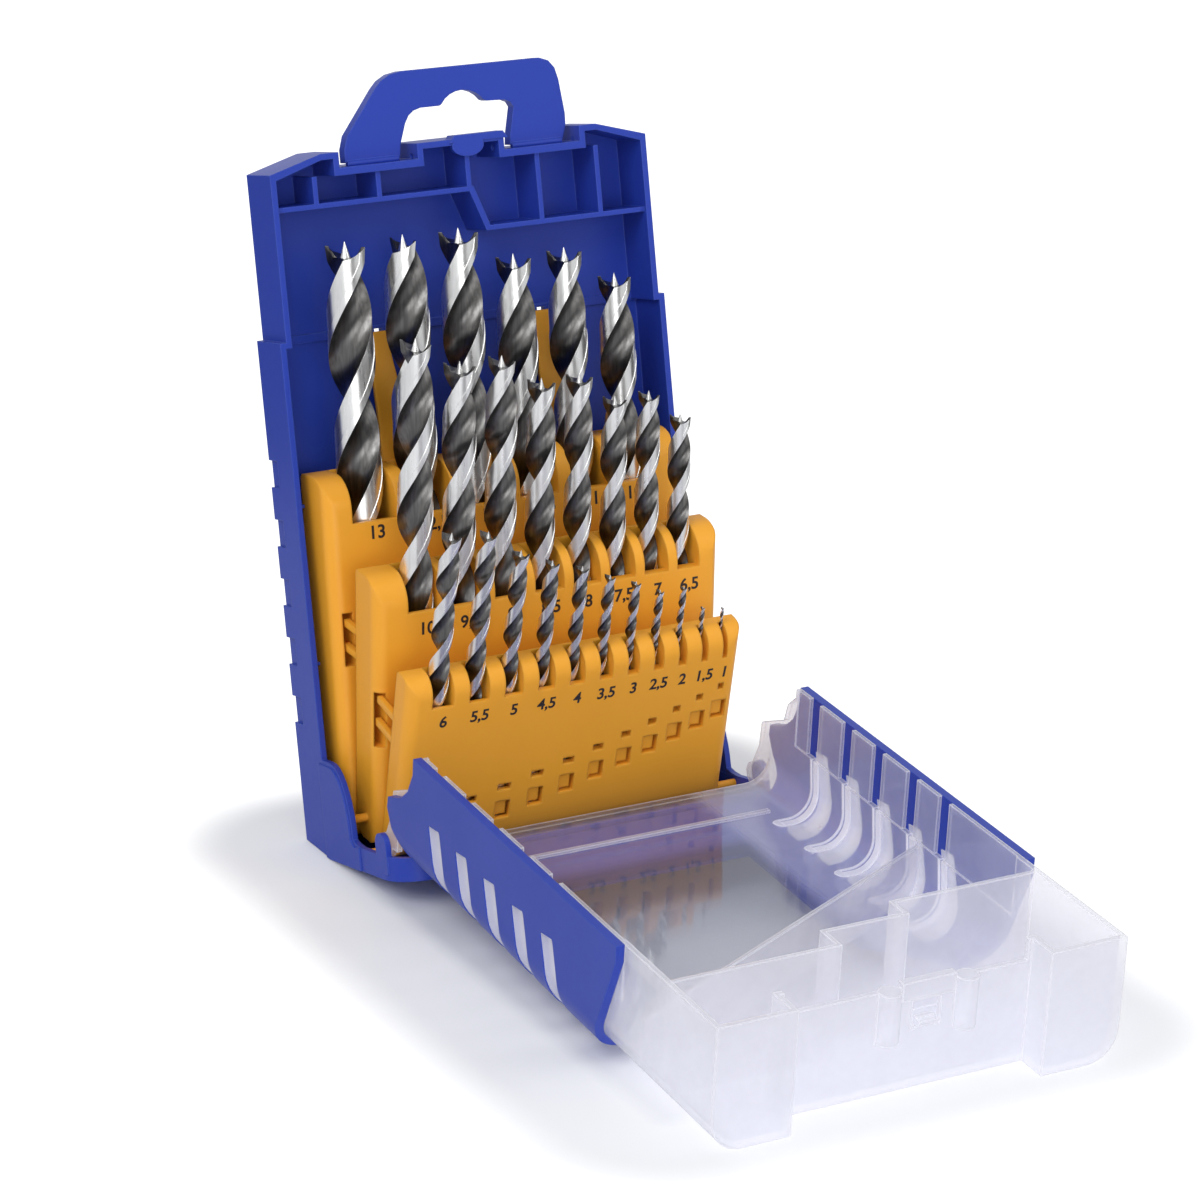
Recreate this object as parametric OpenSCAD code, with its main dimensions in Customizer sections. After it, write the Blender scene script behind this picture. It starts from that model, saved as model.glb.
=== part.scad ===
// Drill bit case: a leaning rear shell, a clear lid in a blue frame, a folding
// handle, three bit racks that fan out as the lid opens, and 25 brad point bits.
// Millimetres, +Z up, X across, +Y to the back; the table is z = 0.
// Every part is drawn in the closed case's own frame (y = 0 is the rim of the shell,
// forward is negative, z = 0 is the base) and is then turned to the open rest pose.

/* [Shell] */
// Width of the shell below the side step
case_w = 119.2; // [114:0.1:124]
// Width of the shell above the side step
upper_w = 115.6; // [112:0.1:117]
// Height of the shell at its side walls
shell_h = 189.5; // [186:0.1:200]
// Rise of the crown in the middle of the top wall
crown = 4.3; // [2:0.1:6]
// Depth of the shell from its rim to its back
shell_d = 16.3; // [15.5:0.1:18]
// Wall thickness of the shell
wall = 1.7; // [1.2:0.1:2]
// Height of the step where the side walls get narrower
step_z = 144; // [136:0.5:150]
// Lean of the open shell, also the angle of the bevel under the base
lean = 10.59; // [8:0.1:13]

/* [Base] */
// Reach of the base in front of the rim
base_d = 45.5; // [44.5:0.1:50]
// Height of the lip around the base
lip_z = 6.6; // [6:0.1:7]
// Thickness of the base floor
base_t = 2; // [1.5:0.1:2.2]
// Radius of the front corners of the base
base_r = 10; // [6:0.5:14]
// Height of the cheeks beside the racks
cheek_z = 28; // [24:0.5:28]

/* [Cells] */
// Depth of the left cells, from the shell's side height down to their shelf
cell_left = 9.1; // [8:0.1:10]
// Depth of the right cells, from the shell's side height down to their shelf
cell_right = 20.5; // [18:0.1:22]
// Thickness of the shelves and dividers
rib_t = 1.4; // [1:0.1:1.6]

/* [Handle] */
// Thickness of the handle plate
handle_t = 3.6; // [3:0.1:4]
// Height of the handle above its hinge
handle_h = 23.6; // [22:0.1:26]

/* [Lid] */
// Depth of the clear lid from rim to outer floor
lid_d = 34.4; // [33.6:0.1:34.6]
// Length of the lid from the start of its rim to the end of its legs
lid_l = 158.6; // [157:0.1:160]
// Gap between the clear lid and the cheeks of the base
lid_gap = 0.3; // [0.3:0.1:1]
// Wall thickness of the clear lid
lid_t = 1.5; // [1.2:0.1:1.5]
// Outer radius between the lid's walls and its floor
lid_r = 9; // [6:0.5:10]
// Length of the blue frame along the rim
frame_l = 114.5; // [112:0.5:118]
// Thickness of the blue frame, with the gap that the lid sits in it with
frame_t = 2.5; // [2:0.1:3]
// Width of the slots in the side panels of the frame
slot_w = 6.7; // [4:0.1:8]

/* [Racks] */
// Opening tilt of the back rack
tilt_back = 4.3; // [4.1:0.1:4.6]
// Opening tilt of the middle rack
tilt_middle = 12.5; // [11.5:0.1:13]
// Opening tilt of the front rack
tilt_front = 23; // [22:0.1:24]
// Play between a bit and its square pocket
pocket_play = 0.5; // [0.4:0.05:0.7]
// Radius of the rounded shoulders on the racks
shoulder_r = 9; // [5:0.5:10]

/* [Bits] */
// Pitch of the flutes as a multiple of the bit diameter
pitch_k = 5.2; // [4.5:0.1:7]
// Share of a bit's length that is plain shank
shank_k = 0.36; // [0.3:0.01:0.4]
// Length of the centre point as a multiple of the diameter
brad_k = 0.34; // [0.2:0.01:0.4]
// Size of the ground lands as a share of the shank's diameter
land_k = 0.985; // [0.96:0.001:0.99]

/* [Hidden] */
blue = [0.17, 0.24, 0.62];
amber = [0.95, 0.66, 0.2];
steel = [0.6, 0.61, 0.63];
clear = [0.82, 0.83, 0.93, 0.5];
hw = case_w / 2;
uw = upper_w / 2;
top_z = shell_h + crown;
shelf_left_z = shell_h - cell_left;
shelf_right_z = shell_h - cell_right;
// Overlap that joins one piece of a solid to the next
bite = 0.1;
// Notches of the handle in the top wall
notch_a = 13.3;
notch_b = 37;
notch_z = shell_h;
inner_y = shell_d - wall;
// Ribs between the cells: their front edge, and their places along x
rib_y = 1.2;
left_ribs = [-45, -26];
mid_rib = 1.4;
right_ribs = [23, 41.6];
// Where the shelf slants down from the left cells to the right ones
slant_x = [2, 6.2];
slant_more = 1.3;
// Grip notches: height of the lowest, height of each, spacing
grip_z = 36.8;
grip_h = 7.6;
grip_step = 16.6;
// Windows through the back wall
peep_x = [-24, 27];
round_fn = 48;
// Hinge of the handle: a bead along its lower edge, in a groove of the top wall
handle_py = 4;
handle_pz = notch_z + 0.5;
bead_r = 0.9;
// Lid hinge in the case frame, and where it sits in the lid's own frame
hinge_y = -35;
hinge_z = 9.4;
pin_r = 2;
fit = 0.05;
boss_r = 3.4;
rim_z = 29;
// Gap between the rims when the lid is shut, and between the frame and the tray in it
rim_gap = 0.3;
seat_gap = 0.12;
// Half widths of the clear lid and of the blue frame, and the ears that hold the pins
cheek_t = wall - 0.1;
lid_x = hw - cheek_t - lid_gap;
frame_x = lid_x + frame_t;
pin_end = 1.3;
// Hand recess at the free end of the lid, and its latch
recess_l = 150;
recess_x = 35.5;
latch_x = 6;
latch_w = 2.6;
// Fingers of the lid's side walls: the slots between them and the depth of their step
slot_l = [10.2, 27.1, 43, 60.2, 76];
slot_half = 2.6;
slot_end_x = 45.6;
finger_d = 17;
// Standing walls of the lid: their places along l, and the steps between them along x
stop_l = [132.3, 124.6, 118];
stop_x = [-9.8, 14.1];
stop_t = 1.2;
// Diagonal wall of the lid, from the right wall to the left one
slant_l = 65.2;
slant_rise = 56.2;
axis_l = hinge_z - rim_z;
axis_d = -hinge_y;
// The origin is the middle of the bevel that the case stands on
seat_y = shell_d / cos(lean) / 2;
// The lid turns until the feet of its legs touch the table
hinge_wy = hinge_y * cos(lean) + hinge_z * sin(lean);
hinge_wz = hinge_z * cos(lean) - hinge_y * sin(lean);
foot_l = lid_l - axis_l;
foot_d = lid_d - axis_d;
foot_reach = sqrt(foot_l * foot_l + foot_d * foot_d);
lid_slope = asin(hinge_wz / foot_reach) - atan2(foot_d, foot_l);
// Racks in the closed frame: rear face, front face, half width, pivot, heights
gap = 0.4;
back_rear = inner_y - 0.5;
back_axis = 6.3;
back_front = -2.2;
back_x = hw - 5;
mid_rear = back_front - gap;
mid_axis = mid_rear - 6.45;
mid_front = mid_rear - 13.2;
mid_x = hw - 4.8;
mid_left = hw - 7.9;
front_rear = mid_front - gap;
front_axis = front_rear - 4.4;
front_front = front_rear - 8.8;
front_x = hw - 8.1;
front_left = hw - 8.5;
pivot_r = 1.2;
back_py = back_axis;
back_pz = 12;
mid_py = mid_axis;
mid_pz = 12;
front_py = front_axis;
front_pz = 4.4;
back_lip = 94;
back_top = 106.8;
mid_lip = 72.4;
mid_top = 83;
front_lip = 50.5;
front_top = 59.4;
back_floor = 19.3;
mid_floor = 14.7;
BACK_D = [13, 12.5, 12, 11.5, 11, 10.5];
BACK_L = [151, 151, 151, 142, 142, 133];
MID_D = [10, 9.5, 9, 8.5, 8, 7.5, 7, 6.5];
MID_L = [133, 125, 125, 117, 117, 109, 109, 101];
FRONT_D = [6, 5.5, 5, 4.5, 4, 3.5, 3, 2.5, 2, 1.5, 1];
FRONT_L = [93, 93, 86, 80, 75, 70, 61, 57, 49, 40, 34];
FRONT_F = [9.2, 7.8, 7.3, 8.7, 10.3, 11.1, 16.6, 16.6, 24.3, 25.7, 30.4];
// Pockets of a row: the first and last stand in from the rack's ends, and the rest of the
// rack is shared out between them, so that every fin of a row is as thick as the next
function step_to(sizes, i) = i == 0 ? 0
  : step_to(sizes, i - 1) + (sizes[i - 1] + sizes[i]) / 2;
function spot(sizes, x, left, right, i) = -x + left + step_to(sizes, i)
  + i * (2 * x - left - right - step_to(sizes, len(sizes) - 1)) / (len(sizes) - 1);
function back_at(i) = spot(BACK_D, back_x, 14.4, 12.75, i);
function mid_at(i) = spot(MID_D, mid_x, 18, 10.12, i);
function front_at(i) = spot(FRONT_D, front_x, 10.7, 5.3, i);
// Links beside the pockets: outer face, thickness, reach, heights of their bars, depth and gap
// of the seat that holds them, and play in the slots of the rack behind
mid_link_x = hw - 8.4;
mid_link_t = 1.8;
mid_link_y = 9.1;
mid_link_z = [56, 63];
front_link_x = hw - 8.8;
front_link_t = 1.6;
front_link_y = 10.7;
front_link_z = [36, 43];
link_h = 2;
seat_d = 2;
clip_gap = 0.05;
back_slot_play = 0.6;
mid_slot_play = 0.5;
back_slot_z = [54.5, 69.5];
mid_slot_z = [34.5, 50.5];
// Tongues that rise from the back rack: places, foot and tip
tongue_x = [-24.5, 26.5];
tongue_w = [5.5, 1.8];
tongue_z = [98, 141];
pocket_top = 130;
// Height of the windows in the front rack, which climb towards the small bits
function window_z(x) = 18.6 + 0.272 * x + 0.0013 * x * x;

// Extrudes an x-z outline along y
module slab(y0, y1) {
  translate([0, y1, 0]) rotate([90, 0, 0]) linear_extrude(y1 - y0) children();
}

// Extrudes a y-z outline along x
module across(x0, x1) {
  translate([x0, 0, 0]) rotate([90, 0, 90]) linear_extrude(x1 - x0) children();
}

// Places the same piece on both sides
module both() {
  children();
  mirror([1, 0, 0]) children();
}

// Leans the closed case's frame back to the rest pose, with its foot on the origin
module in_case() {
  translate([0, -seat_y, 0]) rotate([-lean, 0, 0]) children();
}

// Tilts a rack forward about its trunnions
module tilted(py, pz, angle) {
  in_case() translate([0, py, pz]) rotate([angle, 0, 0]) translate([0, -py, -pz]) children();
}

// Lays the lid open; its own frame is x, l along the rim and d down from the rim
module in_lid() {
  translate([0, hinge_wy - seat_y, hinge_wz]) rotate([180 + lid_slope, 0, 0])
    translate([0, -axis_l, -axis_d]) children();
}

module box(x0, x1, y0, y1, z0, z1) {
  translate([x0, y0, z0]) cube([x1 - x0, y1 - y0, z1 - z0]);
}

// Front view of the shell, shrunk by g, with the two handle notches
module shell_face(g) {
  drop = g > 0 ? g + 0.4 : 0;
  difference() {
    polygon([[-hw + g, g > 0 ? base_t : 0], [hw - g, g > 0 ? base_t : 0],
      [hw - g, step_z - g], [uw - g, step_z - g], [uw - g, shell_h - g],
      [uw - 15.5, top_z - g], [-uw + 15.5, top_z - g], [-uw + g, shell_h - g],
      [-uw + g, step_z - g], [-hw + g, step_z - g]]);
    for (s = [-1, 1]) translate([s * (notch_a + notch_b) / 2, notch_z - drop + 10])
      square([notch_b - notch_a + 2 * g, 20], center = true);
  }
}

// Plan of the base, shrunk by g
module base_plan(g) {
  r = base_r - g;
  translate([-hw + g, -base_d + base_r]) square([2 * (hw - g), base_d - base_r + shell_d - g]);
  translate([-hw + base_r, -base_d + g]) square([2 * (hw - base_r), base_d]);
  for (s = [-1, 1]) translate([s * (hw - base_r), -base_d + base_r]) circle(r, $fn = round_fn);
}

// Side view of a cheek, shrunk by g along its front curve
module cheek_side(g) {
  polygon(concat([[2, 0], [2, cheek_z + 0.2 - g]],
    [for (a = [0:10:90]) [-5 - (11.5 - g) * sin(a), 8 + (cheek_z - 8 - g) * cos(a)]],
    [[-18.6 + g, lip_z + 0.6 - g], [-22 + g, lip_z], [-22 + g, 0]]));
}

// Rib between two cells, standing on the shelf at z0
module cell_rib(x, z0, z1) {
  box(x, x + rib_t, rib_y, inner_y + bite, z0 - bite, z1);
}

// Rear tray of the shell with its walls, cells and shelves
module shell_tray() {
  difference() {
    slab(0, shell_d) shell_face(0);
    slab(-1, inner_y) shell_face(wall);
  }
  // Shelves over the long bits, stepping down past the middle, just behind the rim
  slab(rib_y, inner_y + bite) polygon([[-uw + 1, shelf_left_z - rib_t],
    [slant_x[0], shelf_left_z - rib_t], [slant_x[1], shelf_right_z - rib_t],
    [uw - 1, shelf_right_z - rib_t], [uw - 1, shelf_right_z],
    [slant_x[1] + slant_more, shelf_right_z], [slant_x[0] + slant_more, shelf_left_z],
    [-uw + 1, shelf_left_z]]);
  for (x = left_ribs) cell_rib(x, shelf_left_z, shell_h - wall);
  cell_rib(mid_rib, shelf_left_z, top_z - wall);
  for (x = right_ribs) cell_rib(x, shelf_right_z, shell_h - wall);
  // Step across the back wall, level with the step in the sides
  box(-uw + wall - bite, uw - wall + bite, inner_y - 0.6, inner_y + bite, step_z - 2.2,
    step_z + 0.2);
  // Thumb pad over the latch, with a rounded tongue under it
  slab(-0.5, 4) polygon([[-3.5, top_z - 1], [14.5, top_z - 1], [13, top_z + 1], [-2, top_z + 1]]);
  slab(-0.5, rib_y) translate([2, top_z - 2]) scale([1.6, 1]) circle(3, $fn = round_fn);
  // Short ledges on the inside of the side walls
  both() for (z = [54, 98]) box(-hw + wall - bite, -hw + wall + 2, 3, inner_y, z, z + 0.9);
}

// Base with its lip, cheeks and hinge ears
module shell_base() {
  difference() {
    linear_extrude(lip_z) base_plan(0);
    translate([0, 0, base_t]) linear_extrude(lip_z) base_plan(wall);
  }
  across(-hw + 0.1, hw - 0.1)
    polygon([[0, 0], [shell_d, 0], [shell_d, base_t + shell_d * tan(lean)], [0, base_t]]);
  both() {
    across(-hw, -hw + cheek_t) cheek_side(0);
    across(-hw - 0.4, -hw + 0.5) cheek_side(1.2);
    // Lobe of the side wall that holds the lid's hinge pin in a blind hole
    difference() {
      union() {
        across(hw - cheek_t, hw) translate([hinge_y, hinge_z]) circle(boss_r, $fn = round_fn);
        box(hw - cheek_t, hw, hinge_y - boss_r, hinge_y + boss_r, base_t - 0.3, hinge_z);
      }
      across(hw - cheek_t - 1, lid_x + pin_end + bite)
        translate([hinge_y, hinge_z]) circle(pin_r + fit, $fn = round_fn);
    }
  }
}

module rear_shell() {
  color(blue) in_case() difference() {
    union() {
      shell_tray();
      shell_base();
    }
    // Bevel that stands flat on the table when the case leans back
    across(-hw - 2, hw + 2) polygon([[0, 0], [30, 30 * tan(lean)], [30, -2], [0, -2]]);
    // Two small windows through the back wall above the rack's tongues
    for (x = peep_x) box(x - 1.2, x + 1.2, inner_y - 2, shell_d + 1, step_z - 3.3, step_z - 0.7);
    // Grip notches in the rear corners
    both() for (i = [0:4]) box(-hw - 1, -hw + 0.9, 10.5, shell_d + 1,
      grip_z + i * grip_step, grip_z + grip_h + i * grip_step);
    // Seats for the racks' trunnions
    for (p = [[back_py, back_pz], [mid_py, mid_pz], [front_py, front_pz]])
      across(-hw + 0.4, hw - 0.4) translate(p) circle(pivot_r + fit, $fn = 32);
    // Groove that the handle's hinge bead turns in
    across(-notch_b - 0.1, notch_b + 0.1)
      translate([handle_py, handle_pz]) circle(bead_r + fit, $fn = 32);
  }
}

// Outline of the handle: slanted on the left, upright on the right, with a hand hole
module handle_face() {
  k = handle_h / 23.6;
  difference() {
    union() {
      polygon([[-33.4, 0.3], [-33.4, 3.8 * k], [-32.2, 7.6 * k], [-22.6, 19.6 * k], [-20.6, 21.6 * k],
        [-17.8, 23.1 * k], [-14.4, 23.7 * k], [28.4, 23.6 * k], [31.2, 22.6 * k], [33, 20.4 * k],
        [33.9, 17 * k], [35, 7.6 * k], [34.9, 4.4 * k], [33.6, 0.3]]);
    }
    polygon(concat([[-17, -1], [-16.4, 3.8 * k], [-14.4, 9.4 * k], [-13.2, 11.4 * k],
      [-11.6, 12.6 * k], [-9.4, 13.2 * k], [-3.6, 13.2 * k]],
      [for (a = [150:-15:30]) [3.7 + 7.6 * cos(a), (10.2 + 6.7 * sin(a)) * k]],
      [[11.2, 13.2 * k], [16.6, 13 * k], [18.4, 12.2 * k], [19.2, 10.8 * k], [17.4, 3 * k],
        [17, -1]]));
  }
}

module handle() {
  color(blue) in_case() translate([0, handle_py, handle_pz]) {
    slab(0, handle_t) handle_face();
    for (x = [[-33, -17.5], [17.5, 33]]) {
      across(x[0], x[1]) circle(bead_r, $fn = 32);
      box(x[0], x[1], 0, bead_r * 0.9, 0, 0.5);
    }
  }
}

// Cross section of the lid, x against d: walls, floor and round corners, shrunk by g
module lid_section(x, d, r, g) {
  q = r - g;
  translate([-x + g, -2]) square([2 * (x - g), d - r + 2]);
  translate([-x + r, -2]) square([2 * (x - r), d - g + 2]);
  for (s = [-1, 1]) translate([s * (x - r), d - r]) circle(q, $fn = round_fn);
}

// Runs a section along the lid from l0 to l1
module along(l0, l1) {
  translate([0, l1, 0]) rotate([90, 0, 0]) linear_extrude(l1 - l0) children();
}

// Clear side wall beyond the rim's start: a stepped edge and the arm to the hinge
module hinge_arm() {
  polygon([[30, 0], [0.8, 0], [0.8, 2.7], [-3.2, 6.5], [-4.8, 12], [-16.4, 17.5],
    [-17, 24.7], [axis_l - 0.5, axis_d - boss_r], [axis_l, axis_d],
    [-14, lid_d], [-8, lid_d], [0, lid_d - lid_r + 2], [30, lid_d - lid_r]]);
  translate([axis_l, axis_d]) circle(boss_r, $fn = round_fn);
}

// Hollow of the lid, stopping short of the recess at the free end
module lid_hollow() {
  along(-40, recess_l - lid_t) lid_section(lid_x, lid_d, lid_r, lid_t);
  intersection() {
    along(100, lid_l - lid_t) lid_section(lid_x, lid_d, lid_r, lid_t);
    both() box(recess_x + lid_t, lid_x, 100, lid_l, -3, lid_d);
  }
}

// One straight length of the standing walls, from the corner at x0, l0 to the one at x1, l1
module stop_wall(x0, x1, l0, l1) {
  box(x0, x1 + stop_t, l0, l1 + stop_t, 1, lid_d);
}

// Standing walls in the lid that keep the bits from sliding
module lid_walls() {
  intersection() {
    along(0, recess_l) lid_section(lid_x, lid_d, lid_r, 0.5);
    union() {
      stop_wall(-lid_x, stop_x[0], stop_l[0], stop_l[0]);
      stop_wall(stop_x[0], stop_x[0], stop_l[1], stop_l[0]);
      stop_wall(stop_x[0], stop_x[1], stop_l[1], stop_l[1]);
      stop_wall(stop_x[1], stop_x[1], stop_l[2], stop_l[1]);
      stop_wall(stop_x[1], lid_x - stop_t, stop_l[2], stop_l[2]);
      // Diagonal wall, lower than the rim
      linear_extrude(lid_d) polygon([[lid_x, slant_l], [lid_x, slant_l + 1.3],
        [-lid_x, slant_l + slant_rise + 1.3], [-lid_x, slant_l + slant_rise]]);
    }
  }
}

module lid_tray() {
  color(clear) in_lid() {
    difference() {
      union() {
        difference() {
          along(-11.3, lid_l) lid_section(lid_x, lid_d, lid_r, 0);
          lid_hollow();
          // The rim, just clear of the closed shell
          box(-lid_x - 1, lid_x + 1, -20, lid_l + 1, -3, rim_gap);
          // Hand recess at the free end, with a lower edge between the legs
          box(-recess_x, recess_x, recess_l, lid_l + 5, -3, lid_d + 5);
          box(-recess_x + 1, recess_x - 1, recess_l - 3, recess_l + 3, -3, 6.2);
          // Catch window under the latch tongue
          box(latch_x - 4, latch_x + 4, recess_l - 3, recess_l + 1, 10.5, 18);
          // Hinge end of the side walls is drawn by the arms
          both() box(lid_x - lid_t - 0.6, lid_x + 1, -12, 0.8, -3, lid_d - lid_r);
        }
        both() intersection() {
          across(lid_x - lid_t, lid_x) intersection() {
            hinge_arm();
            translate([-40, rim_gap]) square([46, 50]);
          }
          union() {
            along(-13, 6) lid_section(lid_x, lid_d, lid_r, 0);
            box(0, lid_x + 1, -40, -13, 0, 50);
          }
        }
        both() across(lid_x - bite, lid_x + pin_end)
          translate([axis_l, axis_d]) circle(pin_r, $fn = round_fn);
        difference() {
          lid_walls();
          // The diagonal wall is cut down to the side wall's step
          box(-lid_x, lid_x + 1, slant_l - 5, stop_l[2] - bite, -3, finger_d + 0.5);
          box(-lid_x, stop_x[0] - bite, stop_l[2] - 1, stop_l[0] - bite, -3, finger_d + 0.5);
          box(stop_x[0] - bite, stop_x[1] - bite, stop_l[2] - 1, stop_l[1] - bite, -3,
            finger_d + 0.5);
        }
        // Ridge across the floor near the hinge
        intersection() {
          along(6.4, 7.8) lid_section(lid_x, lid_d, lid_r, 0.5);
          box(-46, 46, 0, 20, lid_d - lid_t - 0.7, lid_d);
        }
        // Half round ribs and the raised tongue of the latch
        for (x = [-11, 11]) translate([latch_x + x, recess_l + 0.3, 6])
          cylinder(r = 3, h = 14, $fn = round_fn);
        box(latch_x - 7.6, latch_x + 7.6, recess_l - lid_t, recess_l + 0.9, 4.6, 9.6);
        // Wedge that the shell's tongue snaps behind
        across(latch_x - latch_w, latch_x + latch_w)
          polygon([[recess_l - lid_t, 18.2], [recess_l + 1.6, 16.8], [recess_l + 1.6, 15.6],
            [recess_l - lid_t, 15.2]]);
        box(latch_x - latch_w, latch_x + latch_w, recess_l - lid_t, recess_l, 15.2, 19);
      }
      // Fingers: wide gaps down to the step, then narrow slots round to the floor
      both() for (l = slot_l) {
        box(lid_x - lid_t - 3, lid_x + 1, l - slot_half, l + slot_half, -3, finger_d);
        across(slot_end_x, lid_x + 1) polygon([[l + 0.9, finger_d - bite],
          [l + 2, finger_d - bite], [l + 4.6, lid_d + 1], [l + 3.5, lid_d + 1]]);
      }
      // The upper part of the fingers is thinner
      both() box(lid_x - lid_t - 1, lid_x - lid_t + 0.4, 1.8, stop_l[2] - 7, -3, finger_d);
    }
  }
}

// Blue frame that the clear lid sits in: slotted side panels and a floor with a window
module lid_frame() {
  color(blue) in_lid() difference() {
    along(-16, frame_l) lid_section(frame_x, lid_d + 1.2, lid_r + 1.3, 0);
    along(-20, frame_l + 5) lid_section(lid_x + seat_gap, lid_d + seat_gap, lid_r + seat_gap, 0);
    box(-80, 80, -20, 130, -5, rim_gap);
    // Hinge end cut to follow the cheeks
    across(-80, 80) polygon([[0.2, -4], [0.2, 5], [-2.6, 11], [-6.6, 14.8], [-12, 17],
      [-14.4, 17.8], [-14.8, 21], [-12, 26], [-7, 30], [-5, 33], [-5, 40], [-30, 40], [-30, -4]]);
    // Free end slants back towards the floor
    across(-80, 80) polygon([[frame_l - 1, -4], [frame_l - 1, 5], [frame_l - 14, 38],
      [frame_l + 9, 38], [frame_l + 9, -4]]);
    // Window through the floor
    linear_extrude(60) {
      translate([-30, 24]) square([60, 110]);
      translate([0, 128]) circle(55, $fn = 96);
    }
    // Five slanted slots in each side panel, running under the edge
    both() for (i = [0:4]) across(46, 80) translate([10 + i * 16.1, 0])
      polygon([[0.2, 16.2], [0, 15.6], [0.6, 15.2], [slot_w - 0.5, 14.4], [slot_w, 14.8],
        [slot_w + 7.4, 38], [7.4, 38]]);
  }
}

// Side view of a rack: round front shoulder and boat-shaped bottom
module rack_side(rear, front, low, top, r, b) {
  depth = rear - front;
  s = min(r, depth * 0.7);
  polygon(concat([[rear, low + b], [rear, top - 1], [rear - 1, top], [front + s, top]],
    [for (a = [80:-10:10]) [front + s - s * cos(a), top - s + s * sin(a)]],
    [[front, top - s], [front, low + b]],
    [for (a = [15:15:75]) [front + b * 0.9 * (1 - cos(a)), low + b * (1 - sin(a))]],
    [for (a = [75:-15:15]) [rear - b * 0.9 * (1 - cos(a)), low + b * (1 - sin(a))]]));
}

// Plan of a rack with round front corners
module rack_plan(rear, front, left, right, r) {
  translate([-left, front + r]) square([left + right, rear - front - r]);
  translate([-left + r, front]) square([left + right - 2 * r, r + 1]);
  for (x = [-left + r, right - r]) translate([x, front + r]) circle(r, $fn = 32);
}

// Rack body with one open-fronted square pocket for each bit
module rack_body(rear, front, left, right, low, top, r, py, pz) {
  intersection() {
    across(-left, right) rack_side(rear, front, low, top, r, 6);
    linear_extrude(200) rack_plan(rear, front, left, right, 4);
  }
  across(-hw + 0.5, hw - 0.5) translate([py, pz]) circle(pivot_r, $fn = 32);
}

// Slot for a rack's links, beside the pockets of the rack behind it
module link_slot(x, t, play, front, reach, z) {
  both() box(x - t - play, x + play, front - 1, front + reach, z[0], z[1]);
}

// Seat in a rack's rear face that a link clips into
module link_seat(x, t, rear, z) {
  both() box(x - t - clip_gap, x + clip_gap, rear - seat_d - clip_gap, rear + 1,
    z[0] - clip_gap, z[1] + link_h + clip_gap);
}

// Link on the left side or the right one: a foot in its seat, and two bars that slide in the
// rack behind
module link(left, x, t, rear, reach, z) {
  mirror([left ? 1 : 0, 0, 0]) {
    box(x - t, x, rear - seat_d, rear, z[0], z[1] + link_h);
    for (z0 = z) box(x - t, x, rear - bite, rear + reach, z0, z0 + link_h);
  }
}

module middle_link(left) {
  color(amber) tilted(mid_py, mid_pz, tilt_middle)
    link(left, mid_link_x, mid_link_t, mid_rear, mid_link_y, mid_link_z);
}

module front_link(left) {
  color(amber) tilted(front_py, front_pz, tilt_front)
    link(left, front_link_x, front_link_t, front_rear, front_link_y, front_link_z);
}

module pocket(x, y, d, low, lip, front) {
  s = (d + pocket_play) / 2;
  box(x - s, x + s, y - s, y + s, low, pocket_top);
  box(x - s, x + s, front - 1, y, lip, pocket_top);
}

module rack_back() {
  color(amber) tilted(back_py, back_pz, tilt_back) {
    difference() {
      rack_body(back_rear, back_front, back_x, back_x, 5, back_top, shoulder_r, back_py, back_pz);
      for (i = [0:5]) pocket(back_at(i), back_axis, BACK_D[i], back_floor, back_lip, back_front);
      link_slot(mid_link_x, mid_link_t, back_slot_play, back_front, mid_link_y + 0.5, back_slot_z);
    }
    // Tapered tongues that rise behind the long bits
    for (x = tongue_x) slab(back_rear - 1.2, back_rear)
      polygon([[x - tongue_w[0], tongue_z[0]], [x + tongue_w[0], tongue_z[0]],
        [x + tongue_w[1], tongue_z[1]], [x - tongue_w[1], tongue_z[1]]]);
  }
}

module rack_middle() {
  color(amber) tilted(mid_py, mid_pz, tilt_middle) {
    difference() {
      rack_body(mid_rear, mid_front, mid_left, mid_x, 5, mid_top, shoulder_r, mid_py, mid_pz);
      for (i = [0:7]) pocket(mid_at(i), mid_axis, MID_D[i], mid_floor, mid_lip, mid_front);
      link_slot(front_link_x, front_link_t, mid_slot_play, mid_front, front_link_y + 0.3,
        mid_slot_z);
      link_seat(mid_link_x, mid_link_t, mid_rear, mid_link_z);
    }
  }
}

module rack_front() {
  color(amber) tilted(front_py, front_pz, tilt_front) {
    difference() {
      rack_body(front_rear, front_front, front_left, front_x, front_pz - 2.2, front_top,
        shoulder_r, front_py, front_pz);
      for (i = [0:10]) {
        x = front_at(i);
        d = FRONT_D[i];
        pocket(x, front_axis, d, FRONT_F[i], front_lip, front_front);
        // Recess in the front wall round a tab that is free on two sides, and above it a
        // window into the pocket
        box(x - 2.3, x + 2.3, front_front - 1, front_front + 0.9,
          window_z(x) - 2.8, window_z(x) + 2.8);
        difference() {
          box(x - 1.5, x + 2.3, front_front - 1, front_axis, window_z(x) - 2.8,
            window_z(x) + 2.2);
          box(x - 2, x + 1.4, front_front - 2, front_axis + 1, window_z(x) - 1.9,
            window_z(x) + 3);
        }
        box(x - 0.6 - d * 0.28, x + 0.6 + d * 0.28, front_front - 1, front_axis,
          window_z(x) + 6.4, window_z(x) + 8.4);
      }
      link_seat(front_link_x, front_link_t, front_rear, front_link_z);
    }
  }
}

// Cross section of a two-flute bit of radius r
module flute_section(r) {
  h = [1, 1, 1, 0.62, 0.36, 0.62];
  t = [-35, 0, 35, 61, 90, 119];
  polygon([for (k = [0, 1]) for (i = [0:5]) r * h[i] * [cos(t[i] + 180 * k), sin(t[i] + 180 * k)]]);
}

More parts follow.
